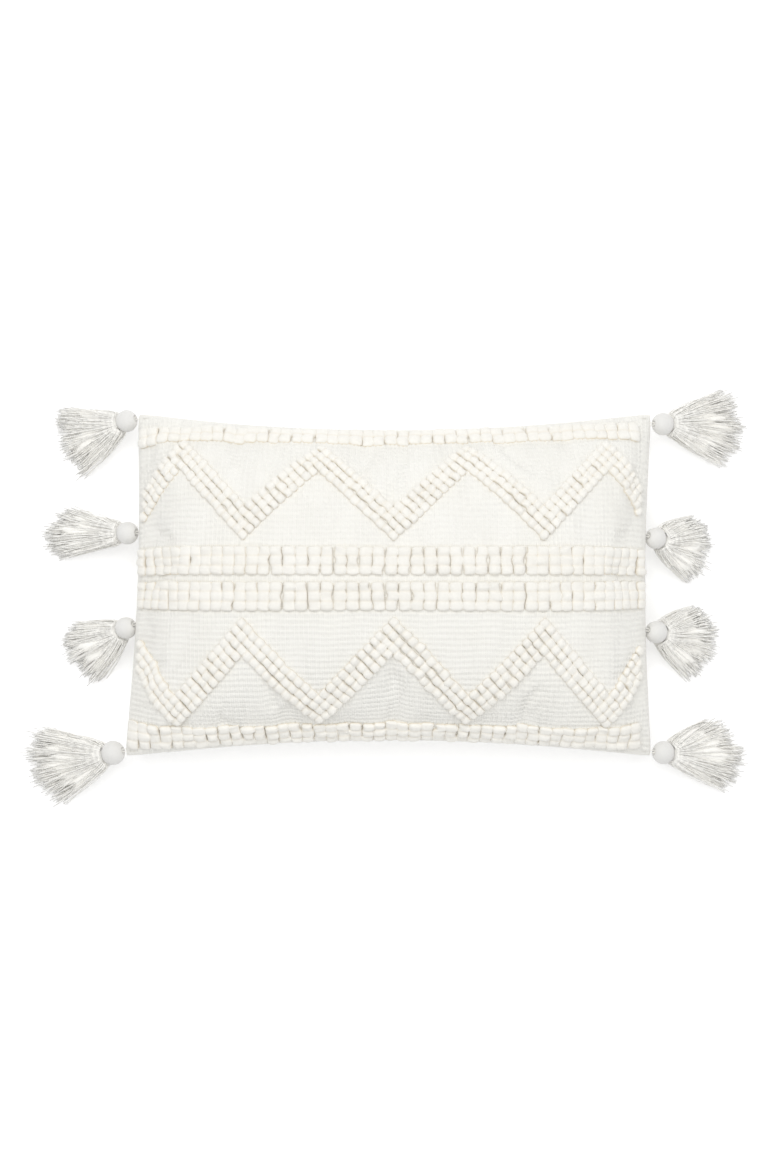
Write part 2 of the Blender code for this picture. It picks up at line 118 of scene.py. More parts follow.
# Raised loop bands, in metres of flat cloth above the middle.
LOOP_COLUMN = 0.0123
TOP_BORDER = (0.148, 0.169)
CENTRE_UPPER_BAND = (0.009, 0.0365)
CENTRE_LOWER_BAND = (-0.0245, 0.0035)
BOTTOM_BORDER = (-0.170, -0.145)
TOP_BORDER_DROOP_LEFT = 0.009
TOP_BORDER_DROOP_RIGHT = 0.003
BOTTOM_BORDER_SPREAD = 0.007
BORDER_BEND = 2.2
UPPER_ZIGZAG = (0.0435, 0.1465)
LOWER_ZIGZAG = (-0.1385, -0.026)
ZIGZAG_ROWS = 18
COLUMNS_PER_HALF_PERIOD = 6
ZIGZAG_SHIFT = 0.002
BAND_END = 0.985
BORDER_RIGHT_END = 0.955
ZIGZAG_END = 0.97
LOOP_STATIONS = 11
LOOP_SIDES = 14
LOOP_THREADS = 4
LOOP_LIFT = 0.0012
LOOP_HEIGHT = 0.0046
LOOP_DEPTH = 0.0018
LOOP_FILL = 1.10
STRAIGHT_DIPS = (0.09, 0.32)
ZIGZAG_DIPS = (0.14, 0.46)
LOOP_WIDTH_SPREAD = 0.09
LOOP_HEIGHT_SPREAD = 0.17
LOOP_NOD = 0.16
LOOP_TILT = 0.12
LOOP_WANDER = 0.0009
THREAD_RELIEF = 0.035
# Painted shade: how much of the warm brown the loops get where one dips into the next.
PAINTED_SHADE_BETWEEN = 0.55

# Tassels: name, side, head's place up the side, direction, head radius, skirt length, then the fan that the
# skirt lies in: direction and reach, from the head's middle, of its upper edge, longest yarns and lower edge.
TASSELS = (
    ("left_top", -1, 0.169, 195, 0.0113, 0.062, ((168, 0.066), (184, 0.072), (231, 0.071))),
    ("left_upper", -1, 0.0535, 182, 0.0116, 0.066, ((158, 0.064), (182, 0.085), (199, 0.073))),
    ("left_lower", -1, -0.045, 205, 0.0113, 0.060, ((178, 0.055), (198, 0.068), (240, 0.063))),
    ("left_bottom", -1, -0.1735, 194, 0.0125, 0.070, ((163, 0.078), (186, 0.088), (224, 0.074))),
    ("right_top", 1, 0.166, 0, 0.0116, 0.064, ((28, 0.074), (-6, 0.082), (-33, 0.073))),
    ("right_upper", 1, 0.0475, -17, 0.0110, 0.052, ((28, 0.047), (-4, 0.058), (-53, 0.059))),
    ("right_lower", 1, -0.049, -14, 0.0116, 0.054, ((31, 0.049), (-6, 0.064), (-54, 0.061))),
    ("right_bottom", 1, -0.173, -6, 0.0118, 0.066, ((35, 0.056), (-8, 0.083), (-33, 0.071))),
)
HEAD_STAND_OFF = 0.0022
LOOP_CORD_RADIUS = 0.0007
LOOP_HALF_WIDTH = 0.0013
LOOP_START = 0.0012
SWAY_AXIS = 0.0034
HEAD_POCKET_DEPTH = 0.0062
HEAD_POCKET_MOUTH = 0.0038
HEAD_POCKET_FLOOR = 0.0026
HEAD_CUT = 0.84
HEAD_SIDES = 78
HEAD_RINGS = 30
HEAD_WINDING = 0.011
GAP = 0.0003
BINDING_MIDDLE = 0.0066
BINDING_WIDTH = 0.003
BINDING_MARGIN = 0.0005
BINDING_WRAPS = 3
BINDING_THREAD_RADIUS = 0.00062
SKIRT_TIP_HALF_DEPTH = 0.0085
FLOOR_CLEARANCE = 0.0004
YARN_RADIUS = 0.00057
YARNS = 420
STRAY_YARNS = 5
YARN_STATIONS = 16
YARN_SIDES = 5
CORE_ENDS = (0.84, 0.97)
CORE_TOP = 0.76
CORE_BOTTOM = 0.12
CORE_HALF_SHARE = 0.93
CORE_RIM = 0.0002

# A yarn's way out of the neck, over the collar and shoulder, to its tip.
ROOT_RADIUS = 0.0046
COLLAR = (0.0012, 0.0082, 0.0078)
SHOULDER = (0.0040, 1.1, 0.0092)
FREE_TURN = 0.30
LAG_BACK = 0.017
LAG_OUT = 0.004
LAG_DOWN = 0.006
WAIST_SHARE = 0.45
WAIST_PUFF = 0.004
WAIST_BELLY = 0.0005
CLUMPING = 0.035
LENGTH_SPREAD = 0.045
SHORT_TIPS = 0.12
AIM_SPREAD = 0.035
TIP_LOWEST = 0.0010
TIP_SAG = 0.4
WAVE_SIDEWAYS = 0.0009
WAVE_UPWARDS = 0.0006
GOLDEN_SHARE = 0.618034

# The zip in the lower seam.
ZIP_RADIUS = CORNER_HALF_WIDTH ** 2 / (2 * LONG_EDGE_PULL_IN)
ZIP_CENTRE_Y = LONG_EDGE_PULL_IN - CORNER_HALF_HEIGHT - ZIP_RADIUS
ZIP_HALF_LENGTH = 0.186
ZIP_OPENING_HALF = 0.0044
ZIP_OPEN_SHARE = 0.72
ZIP_CLOSED_SHARE = 0.86
ZIP_EDGE_SHARE = 0.8
COIL_DEPTH = 0.0058
COIL_HEIGHT = 0.0018
COIL_RADIUS = 0.0011
COIL_PITCH = 0.0013
COIL_WIRE_RADIUS = 0.00050
COIL_STEPS = 9
LIP_HALF_GAP = 0.0028
LIP_OVERRUN = 0.0045
LIP_TAPER = 0.004
STITCH_PITCH = 0.0036
STITCH_INSET = 0.0042
STITCH_SHARE = 0.68
STITCH_RADIUS = 0.00026
STITCH_OVERRUN = 0.006
SEAM_TAKE_UP = 1.02
METAL_EDGE = 0.00012

# A zip tape's section, as depth from the seam and height, and the hem's rings: inset, share of a lip, rise.
TAPE_SECTION = ((0.00555, 0.0032), (0.00605, 0.0032), (0.00605, 0.0046), (0.0085, 0.0105), (0.0080, 0.0107),
                (0.00555, 0.0047))
HEM_RINGS = ((-0.0004, 0.5, 0.0), (0.0002, 0.95, 0.0), (0.0010, 1.0, 0.0), (0.0020, 0.9, 0.0),
             (0.0026, 0.0, 0.0008), (0.0040, 0.0, 0.004))

# The photograph's framing: looking straight down, with the pillow filling two thirds of the width.
FRAME_HEIGHT = 1.203
CAMERA_LENS = 100.0
SENSOR = 36.0
AIM = (-0.0015, 0.0)

# Colours.
WARM_IVORY = (0.925, 0.915, 0.875)
SHADED_IVORY = (0.89, 0.875, 0.82)
PILE_IVORY = (0.94, 0.925, 0.88)
PILE_SHADE = (0.90, 0.875, 0.81)
# Painted shade: a warm brown mixed into the loops' colour on their undersides and where they meet, for shade
# in the hollows warmed by light bounced there.
PAINTED_SHADE_BROWN = (0.82, 0.745, 0.61)
TASSEL_IVORY = (0.985, 0.975, 0.94)
TASSEL_SHADE = (0.965, 0.945, 0.895)
THREAD_GLOW = 0.03
NYLON_GLOW = 0.18
HEAD_IVORY = (0.80, 0.795, 0.775)
HEAD_SHADE = (0.76, 0.75, 0.725)
INSERT_WHITE = (0.90, 0.90, 0.89)
INSERT_SHADE = (0.84, 0.84, 0.83)
NYLON_IVORY = (0.90, 0.88, 0.82)
NICKEL = (0.72, 0.71, 0.69)
NICKEL_SHADE = (0.60, 0.59, 0.57)
FLOOR_GREY = (0.80, 0.80, 0.80)
FLOOR_PALE = (0.82, 0.82, 0.82)
FLOOR_GLOW = 0.33
FLOOR_REACH = 6.0
WHITE = (1.0, 1.0, 1.0)


# --- materials ---

class Finish:
    """A material under construction: its tree, its shader, and short ways to add and join nodes."""

    def __init__(self, name):
        self.material = bpy.data.materials.new(name)
        self.material.use_nodes = True
        self.tree = self.material.node_tree
        self.shader = self.tree.nodes["Principled BSDF"]

    def put(self, socket, value):
        if isinstance(value, bpy.types.NodeSocket):
            self.tree.links.new(value, socket)
        else:
            socket.default_value = value

    def node(self, kind, inputs, **settings):
        made = self.tree.nodes.new(kind)
        for setting, value in settings.items():
            setattr(made, setting, value)
        for socket, value in inputs.items():
            self.put(made.inputs[socket], value)
        return made

    def glow(self, colour, strength):
        """A little light of its own, in place of scattered light that the plain shader leaves out."""
        self.shader.inputs["Emission Color"].default_value = (*colour, 1.0)
        self.shader.inputs["Emission Strength"].default_value = strength

    def surface(self, socket, value):
        self.put(self.shader.inputs[socket], value)

    def stretched(self, kind="Object", scale=(1, 1, 1)):
        """Coordinates of a kind, such as Object or UV, scaled differently along each axis."""
        coordinates = self.node("ShaderNodeTexCoord", {}).outputs[kind]
        mapping = self.node("ShaderNodeMapping", {"Vector": coordinates, "Scale": scale})
        return mapping.outputs["Vector"]

    def noise(self, vector, scale, detail=3.0, roughness=0.55):
        made = self.node("ShaderNodeTexNoise", {"Vector": vector, "Scale": scale, "Detail": detail,
                                                "Roughness": roughness})
        return made.outputs["Fac"]

    def ranged(self, value, low, high, new_low, new_high):
        made = self.node("ShaderNodeMapRange", {"Value": value, "From Min": low, "From Max": high,
                                                "To Min": new_low, "To Max": new_high})
        return made.outputs["Result"]

    def mixed(self, share, first, second):
        made = self.node("ShaderNodeMix", {0: share}, data_type="RGBA")
        for index, colour in ((6, first), (7, second)):
            self.put(made.inputs[index], (*colour, 1.0) if isinstance(colour, tuple) else colour)
        return made.outputs[2]

    def bump(self, height, distance, strength=1.0, below=None):
        inputs = {"Height": height, "Distance": distance, "Strength": strength}
        if below is not None:
            inputs["Normal"] = below
        return self.node("ShaderNodeBump", inputs).outputs["Normal"]


def cotton(name, light, shade, fibre_relief=0.0002, fibre_stretch=(2600, 2600, 1),
           roughness=(0.78, 0.95), sheen=0.25, fuzziness=0.6):
    """Matt cotton: cloudy colour, fine fibres stretched along the yarn, and a soft sheen."""
    finish = Finish(name)
    place = finish.stretched()
    clouds = finish.noise(place, 24.0, 4.0)
    flecks = finish.noise(place, 420.0)
    tone = finish.ranged(clouds, 0.3, 0.7, 0.0, 0.55)
    colour = finish.mixed(tone, light, shade)
    colour = finish.mixed(finish.ranged(flecks, 0.35, 0.7, 0.0, 0.4), colour, shade)
    finish.surface("Base Color", colour)
    finish.surface("Roughness", finish.ranged(flecks, 0.3, 0.7, *roughness))
    finish.surface("Sheen Weight", sheen)
    finish.surface("Sheen Roughness", 0.5)
    finish.surface("Specular IOR Level", 0.25)
    fibres = finish.noise(finish.stretched("UV", fibre_stretch), 1.0, 4.0, 0.6)
    fuzz = finish.noise(place, 1300.0)
    normal = finish.bump(fuzz, 0.00025, fuzziness)
    finish.surface("Normal", finish.bump(fibres, fibre_relief, 0.8, normal))
    return finish


def woven(finish, across_pitch, up_pitch, relief):
    """Add a plain weave, read from the cloth's own metres, on top of a finish's bump."""
    place = finish.node("ShaderNodeTexCoord", {}).outputs["UV"]
    threads = []
    for direction, pitch in (("X", across_pitch), ("Y", up_pitch)):
        wave = finish.node("ShaderNodeTexWave", {"Vector": place, "Scale": 0.314 / pitch, "Distortion": 0.6,
                                                 "Detail": 1.0, "Detail Scale": 1.5},
                           wave_type="BANDS", bands_direction=direction)
        threads.append(wave.outputs["Fac"])
    both = finish.node("ShaderNodeMath", {0: threads[0], 1: threads[1]}, operation="MULTIPLY").outputs[0]
    below = finish.shader.inputs["Normal"].links[0].from_socket
    finish.surface("Normal", finish.bump(both, relief, 0.9, below))
    return finish


def front_cotton():
    finish = cotton("front_cotton", WARM_IVORY, SHADED_IVORY, 0.0003, (900, 2600, 1))
    return woven(finish, 0.00225, 0.0014, 0.00035).material


def back_cotton():
    finish = cotton("back_cotton", WARM_IVORY, SHADED_IVORY, 0.0002, (900, 2600, 1))
    return woven(finish, 0.0018, 0.0015, 0.0007).material


def loop_yarn():
    """Soft spun yarn, with painted shade: a warm brown mixed in by a per-point attribute on the loops'
    undersides and in the hollows between them.
    """
    finish = cotton("raised_loops", PILE_IVORY, PILE_SHADE, 0.0005, (600, 3600, 1))
    painted_shade = finish.node("ShaderNodeAttribute", {}, attribute_name="painted_shade").outputs["Fac"]
    colour = finish.shader.inputs["Base Color"].links[0].from_socket
    # Painted shade: the attribute darkens the loops' colour towards warm brown where shade falls.
    finish.surface("Base Color", finish.mixed(painted_shade, colour, PAINTED_SHADE_BROWN))
    return finish.material


def skirt_yarn():
    finish = cotton("tassel_yarn", TASSEL_IVORY, TASSEL_SHADE, 0.0001, (2600, 700, 1), sheen=0.8,
                    fuzziness=0.1)
    finish.glow(TASSEL_SHADE, THREAD_GLOW)
    return finish.material


def head_thread():
    return cotton("tassel_head_thread", HEAD_IVORY, HEAD_SHADE, 0.0002, (3200, 700, 1), (0.6, 0.85)).material


def binding_thread():
    return cotton("tassel_binding_thread", TASSEL_IVORY, TASSEL_SHADE).material


def loop_cord():
    return cotton("tassel_cord", TASSEL_IVORY, TASSEL_SHADE).material


def stitch_thread():
    return cotton("stitch_thread", PILE_IVORY, PILE_SHADE, 0.0001).material


def insert_casing():
    finish = cotton("insert_casing", INSERT_WHITE, INSERT_SHADE, 0.0002, (1500, 1500, 1), sheen=0.05)
    return woven(finish, 0.0008, 0.0008, 0.0003).material


def insert_filling():
    return cotton("insert_filling", INSERT_WHITE, INSERT_SHADE, 0.002, (160, 160, 1), sheen=0.4).material


def zip_tape():
    finish = cotton("zipper_tape", WARM_IVORY, SHADED_IVORY, 0.0001, (1500, 1500, 1), sheen=0.1)
    return woven(finish, 0.0007, 0.0007, 0.0003).material


def zip_nylon():
    finish = Finish("zipper_coil")
    place = finish.stretched()
    grain = finish.noise(place, 700.0)
    tone = finish.ranged(grain, 0.35, 0.65, 0, 1)
    finish.surface("Base Color", finish.mixed(tone, NYLON_IVORY, SHADED_IVORY))
    finish.surface("Roughness", finish.ranged(grain, 0.3, 0.7, 0.32, 0.5))
    finish.surface("Normal", finish.bump(grain, 0.00005))
    finish.glow(NYLON_IVORY, NYLON_GLOW)
    return finish.material


def nickel():
    """Nickel plate with a fine brushed grain and worn, duller patches."""
    finish = Finish("zipper_metal")
    brushed = finish.noise(finish.stretched("Object", (300, 4000, 4000)), 1.0, 2.0)
    wear = finish.noise(finish.stretched(), 350.0, 4.0)
    finish.surface("Base Color", finish.mixed(finish.ranged(wear, 0.4, 0.7, 0, 1), NICKEL, NICKEL_SHADE))
    finish.surface("Metallic", 1.0)
    finish.surface("Roughness", finish.ranged(wear, 0.3, 0.7, 0.22, 0.42))
    finish.surface("Normal", finish.bump(brushed, 0.00003, 0.6))
    return finish.material


# --- meshes ---

def add_mesh(name, points, faces, material, uv=None):
    """A smooth-shaded object from points and faces, with a map given per point."""
    mesh = bpy.data.meshes.new(name)
    mesh.from_pydata(np.asarray(points).reshape(-1, 3).tolist(), [], faces)
    mesh.materials.append(material)
    mesh.shade_smooth()
    if uv is not None:
        corners = np.zeros(len(mesh.loops), dtype=np.int32)
        mesh.loops.foreach_get("vertex_index", corners)
        layer = mesh.uv_layers.new(name="cloth")
        layer.data.foreach_set("uv", np.asarray(uv, dtype=np.float32).reshape(-1, 2)[corners].ravel())
    mesh.update()
    piece = bpy.data.objects.new(name, mesh)
    bpy.context.scene.collection.objects.link(piece)
    return piece


def grid_faces(columns, rows, start=0, flipped=False):
    index = start + np.arange(columns * rows).reshape(columns, rows)
    quads = np.stack((index[:-1, :-1], index[1:, :-1], index[1:, 1:], index[:-1, 1:]), axis=-1)
    quads = quads.reshape(-1, 4)
    return (quads[:, ::-1] if flipped else quads).tolist()


def border_of(columns, rows):
    """Grid places round the border, anticlockwise seen from above."""
    places = [(i, 0) for i in range(columns - 1)]
    places += [(columns - 1, j) for j in range(rows - 1)]
    places += [(i, rows - 1) for i in range(columns - 1, 0, -1)]
    places += [(0, j) for j in range(rows - 1, 0, -1)]
    return places


def shell_faces(columns, rows):
    """Faces of an upper grid of points and a lower one, joined round their borders, and that border."""
    total = columns * rows
    faces = grid_faces(columns, rows) + grid_faces(columns, rows, total, True)
    border = [i * rows + j for i, j in border_of(columns, rows)]
    for here, there in zip(border, border[1:] + border[:1]):
        faces.append([there, here, here + total, there + total])
    return faces, border


def closed_layer(name, upper, lower, material, across, up):
    """A closed body between two grids of points."""
    faces, _ = shell_faces(*upper.shape[:2])
    points = np.concatenate((upper.reshape(-1, 3), lower.reshape(-1, 3)))
    uv = np.stack((across, up), axis=-1).reshape(-1, 2)
    return add_mesh(name, points, faces, material, np.concatenate((uv, uv)))


def stand_in(piece, node, body):
    """Give a piece the place of a CAD solid: the solid is hidden and the piece takes on its motion."""
    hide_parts(node)
    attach(piece, body)


def skin(name, tubes, material, painted_shades=None):
    """One mesh from several tubes, each an array of rings of points, capped at both ends.

    The last argument gives, for each tube's points, how much painted shade each one gets, from 0 to 1, by how
    deep in a hollow it lies.
    """
    points = []
    faces = []
    uv = []
    start = 0
    for rings in tubes:
        count, sides = rings.shape[:2]
        index = start + np.arange(count * sides).reshape(count, sides)
        after = np.roll(index, -1, axis=1)
        faces += np.stack((index[:-1], after[:-1], after[1:], index[1:]), axis=-1).reshape(-1, 4).tolist()
        faces.append(index[0, ::-1].tolist())
        faces.append(index[-1].tolist())
        middles = rings.mean(axis=1)
        along = np.concatenate(([0], np.cumsum(np.linalg.norm(np.diff(middles, axis=0), axis=1))))
        girth = np.linalg.norm(rings - middles[:, None], axis=2).mean() * 2 * math.pi
        around = np.arange(sides) / sides * girth
        uv.append(np.stack(np.broadcast_arrays(around[None, :], along[:, None]), axis=-1).reshape(-1, 2))
        points.append(rings.reshape(-1, 3))
        start += count * sides
    made = add_mesh(name, np.concatenate(points), faces, material, np.concatenate(uv))
    if painted_shades is not None:
        depths = np.concatenate([painted_shade.ravel() for painted_shade in painted_shades])
        # Painted shade, stored per point for the material to read.
        made.data.attributes.new("painted_shade", "FLOAT", "POINT").data.foreach_set("value", depths)
    return made


def unit(vectors):
    return vectors / np.maximum(np.linalg.norm(vectors, axis=-1, keepdims=True), 1e-12)


def round_tube(path, radius, sides, flatness=1.0, twist=0.0):
    """Rings round a path. A flatness under 1 with a twist makes the section turn like a spun yarn."""
    path = np.asarray(path, dtype=float)
    along = unit(np.gradient(path, axis=0))
    above = np.zeros_like(along)
    side = np.cross(along[0], (0.0, 0.0, 1.0))
    if np.linalg.norm(side) < 0.1:
        side = np.cross(along[0], (0.0, 1.0, 0.0))
    previous = np.cross(side, along[0])
    for k, direction in enumerate(along):
        previous = previous - direction * np.dot(previous, direction)
        previous = previous / np.linalg.norm(previous)
        above[k] = previous
    across = np.cross(above, along)
    turns = np.arange(sides) / sides * 2 * math.pi
    spin = np.arange(len(path))[:, None] * twist
    wide = np.cos(turns)[None, :]
    high = np.sin(turns)[None, :] * flatness
    first = wide * np.cos(spin) - high * np.sin(spin)
    second = wide * np.sin(spin) + high * np.cos(spin)
    reach = np.broadcast_to(radius, len(path))[:, None, None]
    return path[:, None] + reach * (first[..., None] * across[:, None] + second[..., None] * above[:, None])


def spline(controls, count):
    """A smooth path of count points through control points, evenly by share."""
    controls = np.asarray(controls, dtype=float)
    before = 2 * controls[:1] - controls[1:2]
    beyond = 2 * controls[-1:] - controls[-2:-1]
    padded = np.concatenate((before, controls, beyond))
    place = np.linspace(0, len(controls) - 1, count)
    first = np.minimum(place.astype(int), len(controls) - 2)
    weights = smooth_weights((place - first)[:, None])
    return sum(weight * padded[first + k] for k, weight in enumerate(weights))


def smooth_weights(f):
    """Weights of the four neighbours round a point a share f past the second of them."""
    return (
        -0.5 * f + f ** 2 - 0.5 * f ** 3,
        1 - 2.5 * f ** 2 + 1.5 * f ** 3,
        0.5 * f + 2 * f ** 2 - 1.5 * f ** 3,
        -0.5 * f ** 2 + 0.5 * f ** 3,
    )


# --- the cover's form ---

def clamp(values):
    return np.clip(values, 0.0, 1.0)


def draped(s, t):
    """Where a point of the flat cloth lands, as shares of the half width and half height."""
    u = s * (1 + SPREAD_ACROSS * (1 - t * t) * (1 - s * s))
    v = t * (1 + SPREAD_UP * (1 - abs(s) ** 3) * (1 - abs(t) ** EDGE_CROWDING))
    return u, v


def fullness(u, v):
    across = np.maximum(0.0, 1 - abs(u) ** LENGTH_POWER)
    up = np.maximum(0.0, 1 - abs(v) ** HEIGHT_POWER)
    return (across * up) ** EDGE_FULLNESS


def seam_height(u, v, inset=0.0):
    along = abs(u) * (1 - inset / CORNER_HALF_WIDTH)
    up = abs(v) * (1 - inset / CORNER_HALF_HEIGHT)
    along = clamp((along - DROOP_START_ACROSS) / (1 - DROOP_START_ACROSS))
    up = clamp((up - DROOP_START_UP) / (1 - DROOP_START_UP))
    return SEAM_HEIGHT - CORNER_DROOP * along ** 2 * up ** 2


def zip_gap(u, v):
    """Half of the gap between the panels' rims: wide where the zip lies, closed elsewhere."""
    along = clamp((ZIP_CLOSED_SHARE - abs(u)) / (ZIP_CLOSED_SHARE - ZIP_OPEN_SHARE))
    near_edge = clamp((-v - ZIP_EDGE_SHARE) / (1 - ZIP_EDGE_SHARE))
    return SEAM_HALF_GAP + (ZIP_OPENING_HALF - SEAM_HALF_GAP) * along * near_edge


def plan_point(u, v, inset=0.0):
    x = u * (CORNER_HALF_WIDTH - inset - SIDE_PULL_IN * (1 - v * v))
    x = x + np.where(u < 0, LEFT_SIDE_LEAN * v * u * u, 0.0)
    y = v * (CORNER_HALF_HEIGHT - inset - LONG_EDGE_PULL_IN * (1 - u * u))
    rounding = 1 - CORNER_ROUNDING * abs(u * v) ** 30
    return x * rounding, y * rounding


def layer(side, s, t, inset=0.0, slack=0.0, rim_gap=None):
    """Points of a layer's front, side 1, or of its back, side -1, flat where the pillow rests on it."""
    u, v = draped(s, t)
    x, y = plan_point(u, v, inset)
    gap = zip_gap(u, v) if rim_gap is None else rim_gap
    swell = (FRONT_RISE if side > 0 else BACK_DROP) - slack
    z = seam_height(u, v, inset) + side * (gap + swell * fullness(u, v))
    if side < 0:
        z = np.maximum(slack, z)
    return np.stack((x, y, z), axis=-1)


def crowded(place):
    """Even places from -1 to 1 crowded towards both ends, where the cloth turns down to its seam."""
    return (1 - GRID_CROWDING) * place + GRID_CROWDING * np.sin(place * math.pi / 2)


def evened(share):
    fine = np.linspace(-1, 1, 4001)
    return np.interp(share, crowded(fine), fine)


def crowded_grid(columns, rows):
    places = [crowded(np.linspace(-1, 1, count)) for count in (columns, rows)]
    return np.meshgrid(*places, indexing="ij")


def from_rim(s, t):
    """Distance in flat cloth from the nearest edge."""
    return np.minimum((1 - abs(s)) * CLOTH_HALF_WIDTH, (1 - abs(t)) * CLOTH_HALF_HEIGHT)


class Panel:
    """One panel of the cover as it lies, kept as a crowded grid of points and read smoothly between them."""

    def __init__(self, side, points):
        self.side = side
        self.points = points

    def at(self, s, t):
        columns, rows = self.points.shape[:2]
        places = ((evened(np.clip(s, -1, 1)) + 1) / 2 * (columns - 1),
                  (evened(np.clip(t, -1, 1)) + 1) / 2 * (rows - 1))
        firsts = [np.minimum(place.astype(int), count - 2) for place, count in zip(places, (columns, rows))]
        across = smooth_weights(places[0] - firsts[0])
        up = smooth_weights(places[1] - firsts[1])
        total = 0.0
        for a in range(4):
            column = np.clip(firsts[0] + a - 1, 0, columns - 1)
            for b in range(4):
                row = np.clip(firsts[1] + b - 1, 0, rows - 1)
                total = total + (across[a] * up[b])[..., None] * self.points[column, row]
        return total

    def frame(self, across, up):
        """Points, directions across and up the cloth, and outward normals at places in metres of cloth."""
        step = 0.0015
        s, t = across / CLOTH_HALF_WIDTH, up / CLOTH_HALF_HEIGHT
        ds, dt = step / CLOTH_HALF_WIDTH, step / CLOTH_HALF_HEIGHT
        along_x = unit(self.at(s + ds, t) - self.at(s - ds, t))
        along_y = unit(self.at(s, t + dt) - self.at(s, t - dt))
        return self.at(s, t), along_x, along_y, self.side * unit(np.cross(along_x, along_y))


def filled_by_simulation(front, back):
    """The two panels pushed out by their stuffing, with spare cloth that puckers at the seams."""
    columns, rows = front.shape[:2]
    total = columns * rows
    faces, border = shell_faces(columns, rows)
    start = np.concatenate((front.reshape(-1, 3), back.reshape(-1, 3)))
    shell = add_mesh("cover_shell", start, faces, bpy.data.materials.new("cover_shell"))
    seam = shell.vertex_groups.new(name="seam")
    seam.add(border + [place + total for place in border], 1.0, "REPLACE")
    cloth = shell.modifiers.new("cloth", "CLOTH")
    settings = cloth.settings
    settings.quality = 6
    settings.mass = 0.3
    settings.tension_stiffness = 14
    settings.compression_stiffness = 14
    settings.shear_stiffness = 8
    settings.bending_stiffness = 1.2
    settings.vertex_group_mass = seam.name
    settings.use_pressure = True
    settings.uniform_pressure_force = SIM_PRESSURE
    settings.shrink_min = -SPARE_CLOTH
    settings.effector_weights.gravity = 0
    cloth.collision_settings.use_collision = False
    cloth.point_cache.frame_start = 1
    cloth.point_cache.frame_end = SIM_FRAMES
    for frame_number in range(1, SIM_FRAMES + 1):
        bpy.context.scene.frame_set(frame_number)
    result = shell.evaluated_get(bpy.context.evaluated_depsgraph_get())
    moved = np.zeros(total * 6)
    result.data.vertices.foreach_get("co", moved)
    move = moved.reshape(-1, 3) - start
    length = np.linalg.norm(move, axis=1, keepdims=True)
    near_seam = np.tile(clamp(from_rim(*crowded_grid(columns, rows)) / SEAM_REACH).reshape(-1, 1), (2, 1))
    end = start + move * np.minimum(1.0, MOST_MOVE / np.maximum(length, 1e-9)) * near_seam
    bpy.data.objects.remove(shell, do_unlink=True)
    bpy.context.scene.frame_set(1)
    return end[:total].reshape(front.shape), end[total:].reshape(back.shape)


def make_panels():
    """The front and back panels' forms."""
    s, t = crowded_grid(SIM_COLUMNS, SIM_ROWS)
    front, back = filled_by_simulation(layer(1, s, t, slack=SIM_SLACK), layer(-1, s, t, slack=SIM_SLACK))
    closest = INSERT_SLACK - 0.001
    front[..., 2] = np.maximum(layer(1, s, t, slack=closest)[..., 2], front[..., 2])
    back[..., 2] = np.clip(back[..., 2], 0.0002, layer(-1, s, t, slack=closest)[..., 2])
    return Panel(1, front), Panel(-1, back)


# --- the cover ---

def rib_weave(across, up):
    """Height of the ground weave: wavy ribs across the cloth, each a row of small beads."""
    wander = 0.0006 * np.sin(across * 61 + up * 23) + 0.0004 * np.sin(across * 143 - up * 57 + 1.3)
    rib = np.sqrt(clamp(0.5 + 0.5 * np.cos(2 * math.pi * (up + wander) / RIB)))
    bead = np.sqrt(clamp(0.5 + 0.5 * np.cos(2 * math.pi * (across + 2 * wander) / BEAD)))
    return RIB_RELIEF * rib + BEAD_RELIEF * rib * bead


def even_places(half, step):
    """Places a fixed step apart on both sides of zero, with three close together at each end."""
    count = int(EVEN_END * half / step)
    ends = np.array(END_PLACES) * half
    return np.concatenate((-ends[::-1], np.arange(-count, count + 1) * step, ends))


def lip_gap(x):
    """Half of the slit between the two lips of cloth over the zip, closed beyond the zip's ends."""
    share = clamp((ZIP_HALF_LENGTH + LIP_OVERRUN - abs(x)) / LIP_TAPER)
    return SEAM_HALF_GAP + (LIP_HALF_GAP - SEAM_HALF_GAP) * share


def hems(side, s, t):
    """Rings of cloth folded in from a panel's rim. Over the zip they first turn to the slit as a lip."""
    lower_edge = t < -0.9999
    rings = []
    for inset, lip, lift in HEM_RINGS:
        ring = layer(side, s, t, max(inset, 0.0))
        u, v = draped(s, t)
        fold = np.where(lower_edge, lip * np.maximum(0.0, zip_gap(u, v) - lip_gap(ring[:, 0])), 0.0)
        ring[:, 2] += side * (lift - fold)
        ring[:, 1] += np.where(lower_edge & (fold > 0.0002), min(inset, 0.0), 0.0)
        rings.append(ring)
    return rings


def hemmed_panel(name, panel, across, up, relief, material):
    """A panel of cloth with its weave as relief, its rim folded in over a narrow hem."""
    columns, rows = across.shape
    points, _, _, normals = panel.frame(across, up)
    fade = clamp(from_rim(across / CLOTH_HALF_WIDTH, up / CLOTH_HALF_HEIGHT) / 0.004)
    points = points + normals * (relief * fade)[..., None]
    border = border_of(columns, rows)
    if panel.side < 0:
        border = border[::-1]
    rim = [i * rows + j for i, j in border]
    rings = hems(panel.side, across.ravel()[rim] / CLOTH_HALF_WIDTH, up.ravel()[rim] / CLOTH_HALF_HEIGHT)
    faces = grid_faces(columns, rows, 0, panel.side < 0)
    start = columns * rows
    outer = rim
    for _ in rings:
        inner = list(range(start, start + len(rim)))
        for k in range(len(rim)):
            after = (k + 1) % len(rim)
            faces.append([outer[after], outer[k], inner[k], inner[after]])
        outer = inner
        start += len(rim)
    flat = np.stack((across, up), axis=-1).reshape(-1, 2)
    uv = np.concatenate([flat] + [flat[rim]] * len(rings))
    return add_mesh(name, np.concatenate([points.reshape(-1, 3)] + rings), faces, material, uv)


